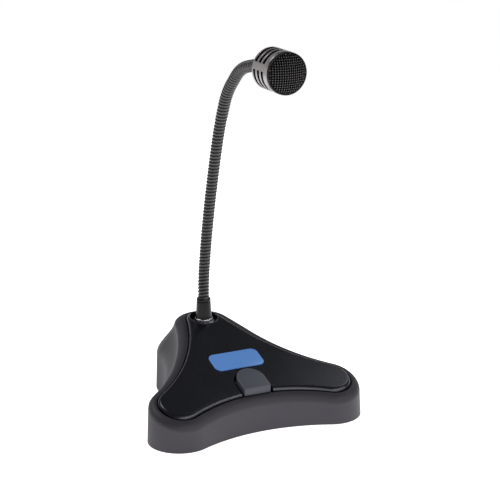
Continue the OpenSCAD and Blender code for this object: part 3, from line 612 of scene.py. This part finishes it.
def housing():
    """The moulded base: deck, lip, shoulder, flare, wall with an eased foot, and the inside."""
    lip_angles, shoulder_angles = np.linspace(0.4, 1.3, 4), np.linspace(1.32, 0.08, 12)
    flare_steps, inside_steps = np.linspace(1, 0, 25), np.linspace(0, 1, 9)
    rings = [on_edge(plate_line(GROOVE_W), -PLATE_SEAT), on_edge(plate_line(GROOVE_W), -LIP_R)]
    for a in lip_angles:
        line = plate_line(GROOVE_W + LIP_R * (1 - math.cos(a)))
        rings.append(on_edge(line, -LIP_R + (LIP_R - LIP_DROP) * math.sin(a)))
    rings += [shoulder(a) for a in shoulder_angles]
    rings += [flare(t, 0) for t in flare_steps]
    for a in np.linspace(0, math.pi / 2, 5):
        line = skirt_line(WALL_DRAFT - FOOT_R * (1 - math.cos(a)))
        rings.append(at_level(line, SKIRT_Z + FOOT_R * (1 - math.sin(a))))
    rings.append(at_level(skirt_line(WALL_DRAFT - WALL_T), SKIRT_Z))
    rings += [flare(t, WALL_T) for t in inside_steps]
    rings.append(on_edge(plate_line(GROOVE_W + WALL_T / 2), -PLATE_SEAT - DECK_T))
    piece = make_piece("housing", *loft(rings, arched=True))
    neck_low, neck_high = NECK_SEAT - 12, NECK_SEAT + 16
    cut_out(piece, drill("neck_cut", NECK_HOLE_R, neck_low, neck_high, AT_NECK, 96))
    hole, stem_low, stem_high = STEM_W / 2 + LOOSE_GAP, 15, 45
    stem_hole = block((-hole, KEY_Y - hole, stem_low), (hole, KEY_Y + hole, stem_high))
    cut_out(piece, make_piece("stem_cut", *stem_hole))
    inlet_in, inlet_out = -8, 6
    inlet = Matrix.Translation((0, INLET_Y, INLET_Z)) @ Matrix.Rotation(-math.pi / 2, 4, "X")
    cut_out(piece, drill("inlet_cut", INLET_R, inlet_in, inlet_out, inlet, 64))
    bore, foot = BUSH_R + LOOSE_GAP, NECK_SEAT - BOSS_H
    ledge = lathe([(bore, foot), (BOSS_R, foot), (BOSS_R, NECK_SEAT), (bore, NECK_SEAT)])
    cut_out(piece, make_piece("ledge", *ledge, AT_NECK), "UNION")
    return smooth(piece, crease=40)


def deck_plate():
    """The black sloping plate: a broad rounded rim, and sharper edges at the key's slot and the
    neck's recess."""
    hold, past = 0.3, 20    # a ring close to the rim holds its shading; cuts go well past the plate
    rings = [at_level(plate_line(0), -PLATE_SEAT)]
    for t in np.linspace(0, 1, 9):
        rings.append(at_level(plate_line(-RIM_W * t), PLATE_RISE - RIM_DROP * (1 - t) ** 2))
    rings.append(at_level(plate_line(-RIM_W - hold), PLATE_RISE))
    piece = make_piece("deck_plate", *loft(rings))
    w, front = KEY_W / 2 + KEY_GAP, KEY_FRONT - past
    opening = [(w, front), *arc((0, KEY_Y), w, 0, math.pi, 48), (-w, KEY_Y), (-w, front)]
    depth = RECESS_R * math.cos(slope(TAIL_Y))
    angles = np.arange(96) * TURN / 96
    recess = [(RECESS_R * math.cos(a), TAIL_Y + depth * math.sin(a)) for a in angles]
    for plan in (opening, recess):
        cut_out(piece, make_piece("plate_cut", *prism(plan, -past, past)))
    settle(piece, eased(CUT_EASE, 2))
    return smooth(make_piece("deck_plate", *on_top(*taken_apart(piece))), crease=15)


def recess_bead():
    """The fine raised bead round the neck's recess."""
    section = [(0.05, -1), (0.95, -1), (0.9, 0.1), (0.55, 0.6), (0.05, 0.5)]
    profile = rounded([(RECESS_R + x, z) for x, z in section], 0.25)
    place = slope_place(TAIL_Y, PLATE_RISE - BEAD_SINK)
    return smooth(make_piece("recess_bead", *lathe(profile), place), crease=60)


def badge():
    """Plain plate with eased edges on the slope."""
    r, w, d = BADGE_D / 4, BADGE_W / 2, BADGE_D / 2
    corners = [((w - r, -d + r), -0.25), ((w - r, d - r), 0),
               ((r - w, d - r), 0.25), ((r - w, r - d), 0.5)]
    line = np.concatenate([arc(c, r, a * TURN, (a + 0.25) * TURN, 12) for c, a in corners])
    sheet = cut_sheet("badge_cut", line, 0, BADGE_T, BADGE_EASE, 4)
    return smooth(make_piece("badge", *sheet, slope_place(BADGE_Y, PLATE_RISE)), crease=50)


def talk_key():
    """The key's cap, and its square stem with barbs at the foot and a pocket for the spring."""
    w, c = KEY_W / 2, KEY_CORNER_R
    line = np.concatenate([
        arc((w - c, KEY_FRONT + c), c, -math.pi / 2, 0, 8),
        arc((0, KEY_Y), w, 0, math.pi, 48), [(-w, KEY_Y)],
        arc((c - w, KEY_FRONT + c), c, math.pi, 1.5 * math.pi, 8), [(c - w, KEY_FRONT)],
    ])
    low, high = KEY_TRAVEL + KEY_CLEARANCE - PLATE_SEAT, PLATE_RISE + KEY_RISE
    cap = on_top(*cut_sheet("key_cut", line, low, high, KEY_EASE))
    half, top, below = STEM_W / 2, edge(KEY_Y) + 2, STEM_Z - 1
    stem = make_piece("stem", *block((-half, KEY_Y - half, STEM_Z), (half, KEY_Y + half, top)))
    ring = [(PLUNGER_R, below), (POCKET_R, below), (POCKET_R, POCKET_ROOF), (PLUNGER_R, POCKET_ROOF)]
    cut_out(stem, make_piece("pocket", *lathe(ring, 48), Matrix.Translation((0, KEY_Y, 0))))
    front, back, barb_top = KEY_Y - half / 2, KEY_Y + half / 2, STEM_Z + BARB_H
    barbs = [block((x - BARB_W, front, STEM_Z), (x + BARB_W, back, barb_top)) for x in (-half, half)]
    return smooth(make_piece("talk_key", *join([cap, taken_apart(stem), *barbs])), crease=40)


def coil_spring():
    """Spring between the switch and the roof of the stem's pocket, with its end turns laid flat."""
    flat = 0.75
    low, high = SPRING_LOW + SPRING_WIRE_R, POCKET_ROOF - SPRING_WIRE_R - FIT_GAP
    turns = np.linspace(0, SPRING_TURNS, SPRING_TURNS * 20 + 1)
    rise = np.clip((turns - flat) / (SPRING_TURNS - 2 * flat), 0, 1)
    across, along = SPRING_R * np.cos(TURN * turns), SPRING_R * np.sin(TURN * turns)
    route = np.stack([across, KEY_Y + along, mix(low, high, rise)], 1)
    return smooth(make_piece("coil_spring", *tube(route, SPRING_WIRE_R, 8, (0, 0, 1))), crease=75)


# Neck pieces

def lean(k):
    """How far the neck leans forward at the foot of a section."""
    return math.radians(sum(BENDS[:k]))


def heading(a):
    """Direction of the neck at a lean."""
    return np.array([0, -math.sin(a), math.cos(a)])


def bend_end(k, s, turn):
    """Way from the start of a section's bend to a length s along it, where it has turned by turn."""
    reach = s if turn == 0 else s * math.sin(turn / 2) / (turn / 2)
    return reach * heading(lean(k) + turn / 2)


def joint(k):
    """Place where section k starts, which is where the section before it ends."""
    if k == 0:
        return np.array([0, TAIL_Y, NECK_Z])
    run = END_RUN * (heading(lean(k - 1)) + heading(lean(k)))
    return joint(k - 1) + run + bend_end(k - 1, SECTION_LEN - 2 * END_RUN, math.radians(BENDS[k - 1]))


JOINTS = [joint(k) for k in range(len(BENDS) + 1)]


def neck_at(s):
    """Place and lean of the neck's centreline at a length from the neck's foot."""
    k = min(max(int(s // SECTION_LEN), 0), len(BENDS) - 1)
    u = s - k * SECTION_LEN
    if u <= END_RUN:
        return JOINTS[k] + u * heading(lean(k)), lean(k)
    if u >= SECTION_LEN - END_RUN:
        return JOINTS[k + 1] - (SECTION_LEN - u) * heading(lean(k + 1)), lean(k + 1)
    turn = math.radians(BENDS[k]) * (u - END_RUN) / (SECTION_LEN - 2 * END_RUN)
    return JOINTS[k] + END_RUN * heading(lean(k)) + bend_end(k, u - END_RUN, turn), lean(k) + turn


def ribbed(name, start, end, sides=40, steps=12):
    """A length of the neck with its ribs wound as one screw line along it, closed at both ends.
    The bottoms of the grooves take the second finish, painted shade."""
    angles = np.arange(sides) * TURN / sides
    lengths = np.linspace(start, end, int((end - start) / RIB_PITCH * steps) + 1)
    rings = []
    for s in lengths:
        place, a = neck_at(s)
        phase = (s / RIB_PITCH - angles / TURN) % 1
        swell = np.abs(np.sin(math.pi * phase)) ** RIB_ROUND
        r = NECK_R - RIB_DEPTH + RIB_DEPTH * swell
        side, up = np.array([1, 0, 0]), np.array([0, math.cos(a), math.sin(a)])
        rings.append(place + np.outer(r * np.cos(angles), side) + np.outer(r * np.sin(angles), up))
    piece = make_piece(name, *loft(rings))
    # Faces at the bottom of each groove take the painted shade finish
    along = (lengths[:-1, None] + lengths[1:, None]) / 2 / RIB_PITCH
    middle = along - (angles + TURN / sides / 2) / TURN
    groove_shade = np.abs((middle + 0.5) % 1 - 0.5) < SHADED_GROOVE_SHARE / 2
    for side, painted_shade in zip(piece.data.polygons, groove_shade.ravel()):
        side.material_index = int(painted_shade)
    return smooth(piece, crease=75)


def neck():
    """Nine lengths of ribbed neck: the two ends ride on base and head, and each of the others lies
    over one joint in its rest bend, on no body."""
    middles = [SECTION_LEN * (k + 0.5) for k in range(len(BENDS))]
    sections = ["neck_%d" % (k + 1) for k in range(len(BENDS))]
    foot = ribbed("neck_foot", -NECK_TUCK, middles[0])
    dress(foot, "neck_black", "base", sections[:1], "rib_shade")
    for k in range(1, len(BENDS)):
        piece = ribbed("neck_bend_%d" % k, middles[k - 1], middles[k])
        dress(piece, "neck_black", None, sections[k:k + 1], "rib_shade")
        reach = BEND_REACH * heading(lean(k))
        start, end = (JOINTS[k] - reach) * MM, (JOINTS[k] + reach) * MM
        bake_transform(piece)
    top = ribbed("neck_top", middles[-1], SECTION_LEN * len(BENDS) - NECK_TUCK)
    dress(top, "neck_black", "mic_head", (), "rib_shade")


def bead_profile(r, low, high, steps=10):
    """Points of a half-round bead's outside, from its foot up."""
    h = (high - low) / 2
    angles = np.linspace(-math.pi / 2, math.pi / 2, steps)
    return [(r - h + h * math.cos(a), low + h + h * math.sin(a)) for a in angles]


def collar():
    """Polished ring: a wide bead under a narrow one."""
    bore, top = BUSH_R + FIT_GAP, NECK_SEAT + COLLAR_H
    waist = NECK_SEAT + COLLAR_WAIST * COLLAR_H
    beads = bead_profile(COLLAR_R, NECK_SEAT, waist) + bead_profile(COLLAR_TOP_R, waist, top)
    profile = [(bore, NECK_SEAT), *beads, (bore, top)]
    return smooth(make_piece("collar", *lathe(profile), AT_NECK), crease=50)


def ferrule():
    """Tapered sleeve with a flared foot, a fine ring line and a chamfered top."""
    low, ring, top = NECK_SEAT + COLLAR_H, FERRULE_TOP_Z - 3.4, FERRULE_TOP_Z
    bore, neck_bore, neck_end = BUSH_R + FIT_GAP, NECK_R + LOOSE_GAP, NECK_Z - 10
    foot_r, top_r = FERRULE_R, FERRULE_TOP_R
    profile = rounded([
        (bore, low), (foot_r, low), (foot_r - 0.05, low + 1.0), (foot_r - 0.35, low + 2.2),
        (top_r + 0.05, ring - 0.25), (top_r - 0.3, ring - 0.1), (top_r - 0.3, ring + 0.1),
        (top_r, ring + 0.25), (top_r, top - 1.3), (top_r - 0.7, top),
        (neck_bore, top), (neck_bore, neck_end), (bore, neck_end - 0.3)], 0.2, 3)
    return smooth(make_piece("ferrule", *lathe(profile), AT_NECK), crease=50)


# Head pieces

IN_HEAD = Matrix.Translation(JOINTS[-1]) @ Matrix.Rotation(lean(len(BENDS)), 4, "X")


def barrel():
    """Slotted barrel: a sheet with rows of slots between four bridges, given its wall and eased edges."""
    step, quarter, bridge, slot_from = 1.5, 90, 21, 175.5
    columns = int(4 * quarter / step)
    angles = np.radians(np.arange(columns) * step)
    middles = [SLOT_START + i * SLOT_PITCH for i in range(SLOT_ROWS)]
    slots = [(z - SLOT_W / 2, z + SLOT_W / 2) for z in middles]
    heights = sorted({0.0, BARREL_LEN, *(z for slot in slots for z in slot)})
    points = [(BARREL_R * math.cos(a), BARREL_R * math.sin(a), z) for z in heights for a in angles]
    faces = []
    for row, z in enumerate(heights[:-1]):
        slotted = any(low <= z < high for low, high in slots)
        for i in range(columns):
            if slotted and (i * step - slot_from) % quarter < quarter - bridge:
                continue
            a, b, j = row * columns, (row + 1) * columns, (i + 1) % columns
            faces.append((a + i, a + j, b + j, b + i))
    piece = make_piece("barrel", points, faces, IN_HEAD)
    # The second finish, slot_shade, is painted shade for the wall's inner and cut faces, so the slots look
    # dark
    for name in ("head_grey", "slot_shade"):
        piece.data.materials.append(finishes[name].material)
    smooth(piece)
    # Solidify gives the wall's inner and cut faces the second finish: painted shade that keeps the slots
    # dark
    wall = {"thickness": BARREL_T * MM, "offset": -1, "material_offset": 1, "material_offset_rim": 1}
    settle(piece, ("SOLIDIFY", wall), eased(BARREL_EASE, 3))
    return smooth(piece, crease=40)


def rear_cap():
    """Conical cap that holds the head on the neck's end."""
    back, rim, bore = -9, BARREL_R - 0.7, NECK_R + LOOSE_GAP
    profile = rounded([
        (bore, back), (NECK_R + 3, back), (rim, -0.7), (rim, 0), (SPIGOT_R, 0), (SPIGOT_R, 2),
        (SPIGOT_R - 2, 2), (SPIGOT_R - 2, 0.7), (NECK_R + 2, -2.5), (bore, -2.5)], 0.6)
    return smooth(make_piece("rear_cap", *lathe(profile), IN_HEAD), crease=50)


def mouth_ring():
    """Dark ring behind the grille, with the rim that holds the wires."""
    bore, waist, seat = SPIGOT_R - 0.8, HOOP_R - HOOP_T, DOME_Z - WIRE_D
    root, low = BARREL_LEN - 4, BARREL_LEN + RING_GAP
    top = low + HOOP_H
    profile = rounded([
        (bore, root), (SPIGOT_R, root), (SPIGOT_R, BARREL_LEN), (waist, BARREL_LEN), (waist, low),
        (HOOP_R, low), (HOOP_R, top), (waist, top), (waist, seat), (bore, seat)], 0.25, 3)
    return smooth(make_piece("mouth_ring", *lathe(profile), IN_HEAD), crease=50)


def grille():
    """Domed screen of woven wires, each going over and under those it crosses."""
    rows = int((DOME_R - WIRE_D) // WIRE_PITCH)
    short, fine, fewest = 0.2, 6, 8    # gap at a wire's end, points to a crossing, fewest points
    shapes = []
    for way in (0, 1):
        for i in range(-rows, rows + 1):
            x = i * WIRE_PITCH
            reach = math.sqrt((DOME_R - short) ** 2 - x * x)
            y = np.linspace(-reach, reach, max(int(2 * reach / WIRE_PITCH * fine), fewest))
            lift = WIRE_D * 0.5 * np.cos(math.pi * (y / WIRE_PITCH + i + way))
            fall = np.clip((reach - np.abs(y)) / WIRE_PITCH, 0, 1)
            r = BALL_R + lift * fall
            z = BALL_Z + np.sqrt(r * r - x * x - y * y)
            route = np.stack([np.full_like(y, x), y, z] if way == 0 else [y, np.full_like(y, x), z], 1)
            shapes.append(tube(route, WIRE_D / 2, 8, (1, 0, 0) if way == 0 else (0, 1, 0)))
    return smooth(make_piece("grille", *join(shapes), IN_HEAD), crease=75)


def paint_crown_highlights(finish):
    """Paints highlights on the wires' crowns, which lie furthest from the dome's centre: a lighter grey
    there stands in for glints.
    """
    centre = tuple(IN_HEAD @ Vector((0, 0, BALL_Z)) * MM)
    highlight_from = 0.72
    start, end = (BALL_R + highlight_from * WIRE_D) * MM, (BALL_R + WIRE_D) * MM
    out = finish.distance(finish.place, centre)
    crown_highlight = finish.node("MapRange", {}, {"Value": out, "From Min": start, "From Max": end})
    wire_colour = Tone(finish, finish.surface.inputs["Base Color"].links[0].from_socket)
    finish.set(Base_Color=finish.blend(crown_highlight, wire_colour, srgb(128, 126, 125)))


dress(housing(), "shell_grey", "base", ["base_shell"])
dress(deck_plate(), "plate_black", "base", ["top_plate"])
dress(recess_bead(), "plate_black", "base")
dress(badge(), "badge_blue", "base", ["badge_plate"])
dress(talk_key(), "key_grey", "ptt_key", ["ptt_button"])
spring = coil_spring()
dress(spring, "bright_steel", "base", ["return_spring"])
spring_foot, spring_keep = (0, KEY_Y * MM, SPRING_LOW * MM), 1 - KEY_TRAVEL / (POCKET_ROOF - SPRING_LOW)
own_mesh(spring)
dress(collar(), "collar_black", "base", ["neck_collar"])
dress(ferrule(), "sleeve_black", "base", ["neck_ferrule"])
neck()
dress(barrel(), "head_grey", "mic_head", ["head_barrel"], "slot_shade")
dress(rear_cap(), "neck_black", "mic_head", ["head_cap"])
dress(mouth_ring(), "black_plastic", "mic_head", ["grille_ring"])
dress(grille(), "grille_black", "mic_head", ["grille_mesh"])
# Painted highlights on the grille's wire crowns
paint_crown_highlights(finishes["grille_black"])

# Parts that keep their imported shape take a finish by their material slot
slot_of = {part["node"]: part["material_slot"] for part in frame["record"]["subparts"]}
for name, part in frame["nodes"].items():
    part.data.materials.clear()
    part.data.materials.append(finishes[slot_of[name]].material)

# Stage, in metres: white floor that keeps a soft shadow, white backdrop, soft lamps and the camera

FLOOR_HALF, FLOOR_GLOW, BOUNCE = 1.1, 1.0, 0.6
SHADE_AT, SHADE_NEAR, SHADE_FAR, FLOOR_SHADE = (-0.13, 0.13, 0), 0.06, 0.25, 0.1
AMBIENT, CEILING, REAR = 0.65, 0.1, 0.8
TURNED, RAISED = math.radians(26.4), math.radians(16.4)
CAMERA_AT, LENS, SENSOR = (-0.6027, -1.2484, 0.5522), 122.88, 36

floor = bpy.data.objects.new("floor", bpy.data.meshes.new("floor"))
corners = [(x * FLOOR_HALF, y * FLOOR_HALF, 0) for x, y in ((-1, -1), (1, -1), (1, 1), (-1, 1))]
floor.data.from_pydata(corners, [], [(0, 1, 2, 3)])
scene.collection.objects.link(floor)
world = bpy.data.worlds.new("surroundings")
scene.world = world
world.use_nodes = True


def ray(tree, *kinds):
    """One for rays of these kinds, else nought."""
    path = tree.node("LightPath").socket.node
    rays = [Tone(tree, path.outputs["Is %s Ray" % kind]) for kind in kinds]
    return sum(rays[1:], rays[0])


def falling(tree, way, axis, start, end, low):
    """One up to a start along an axis of a direction, falling to a low value at an end."""
    split = tree.node("SeparateXYZ", {}, {"Vector": way}, out=axis)
    return tree.node("MapRange", {"interpolation_type": "SMOOTHSTEP"},
                     {"Value": split, "From Min": start, "From Max": end, "To Min": 1.0, "To Max": low})


def seen_white(tree, mirrored, other):
    """White for camera rays, and given levels for mirrored rays and all others."""
    camera_ray, mirror_ray = ray(tree, "Camera"), ray(tree, "Glossy", "Transmission")
    level = camera_ray + mirror_ray * mirrored + (1 - camera_ray - mirror_ray) * other
    return tree.blend(level, (0, 0, 0), (1, 1, 1))


# The floor, as mirrored in the object, has a painted shadow close behind the base, where the object would
# shade it
paper = Finish("paper", Roughness=0.9, Specular_IOR_Level=0.0, Emission_Strength=FLOOR_GLOW)
paper.set(Base_Color=paper.blend(paper.noise(60), (0.8, 0.8, 0.8), (0.82, 0.82, 0.82)))
near = paper.distance(paper.place, SHADE_AT)
shade = paper.node("MapRange", {}, {"Value": near, "From Min": SHADE_NEAR, "From Max": SHADE_FAR,
                                    "To Min": FLOOR_SHADE, "To Max": 1.0})
paper.set(Emission_Color=seen_white(paper, shade, BOUNCE))
floor.data.materials.append(paper.material)

# The backdrop is white; its mirror image fades overhead and behind, as under a dark studio ceiling
sky = Tree(world.node_tree)
way = sky.node("TexCoord", out="Generated")
fade, rear = falling(sky, way, "Z", 0.15, 0.5, CEILING), falling(sky, way, "Y", -0.2, 0.6, REAR)
air = sky.node("Background", {}, {"Color": seen_white(sky, fade * rear, AMBIENT), "Strength": 1.0})
sky.node("OutputWorld", {}, {"Surface": air})


def lamp(name, place, target, size, power, colour=(1, 1, 1)):
    """A soft rectangular lamp turned towards a target."""
    light = bpy.data.lights.new(name, "AREA")
    light.shape, light.energy, light.color = "RECTANGLE", power, colour
    light.size, light.size_y = size
    holder = bpy.data.objects.new(name, light)
    holder.location = place
    holder.rotation_euler = (Vector(place) - Vector(target)).to_track_quat("Z", "Y").to_euler()
    scene.collection.objects.link(holder)


lamp("rear_top", (-0.55, 0.8, 1.5), (0, 0, 0.1), (0.8, 0.8), 6)
lamp("front_strip", (0.42, -1.05, 1.0), (0, 0, 0.05), (2.3, 0.27), 7.4)
lamp("rear_left", (-1.4, 0.9, 0.35), (0, 0, 0.1), (0.5, 0.5), 1.0, (1.0, 0.92, 0.85))
lamp("rear_right", (1.3, 0.58, 1.49), (0, 0, 0.05), (0.7, 0.7), 2.8)

level_back = Vector((-math.sin(TURNED), -math.cos(TURNED), 0)) * math.cos(RAISED)
back = level_back + Vector((0, 0, math.sin(RAISED)))
camera = bpy.data.objects.new("camera", bpy.data.cameras.new("camera"))
camera.data.sensor_width, camera.data.lens = SENSOR, LENS
camera.location = CAMERA_AT
camera.rotation_euler = (-back).to_track_quat("-Z", "Y").to_euler()
scene.collection.objects.link(camera)
scene.camera = camera
scene.view_settings.view_transform = "Standard"
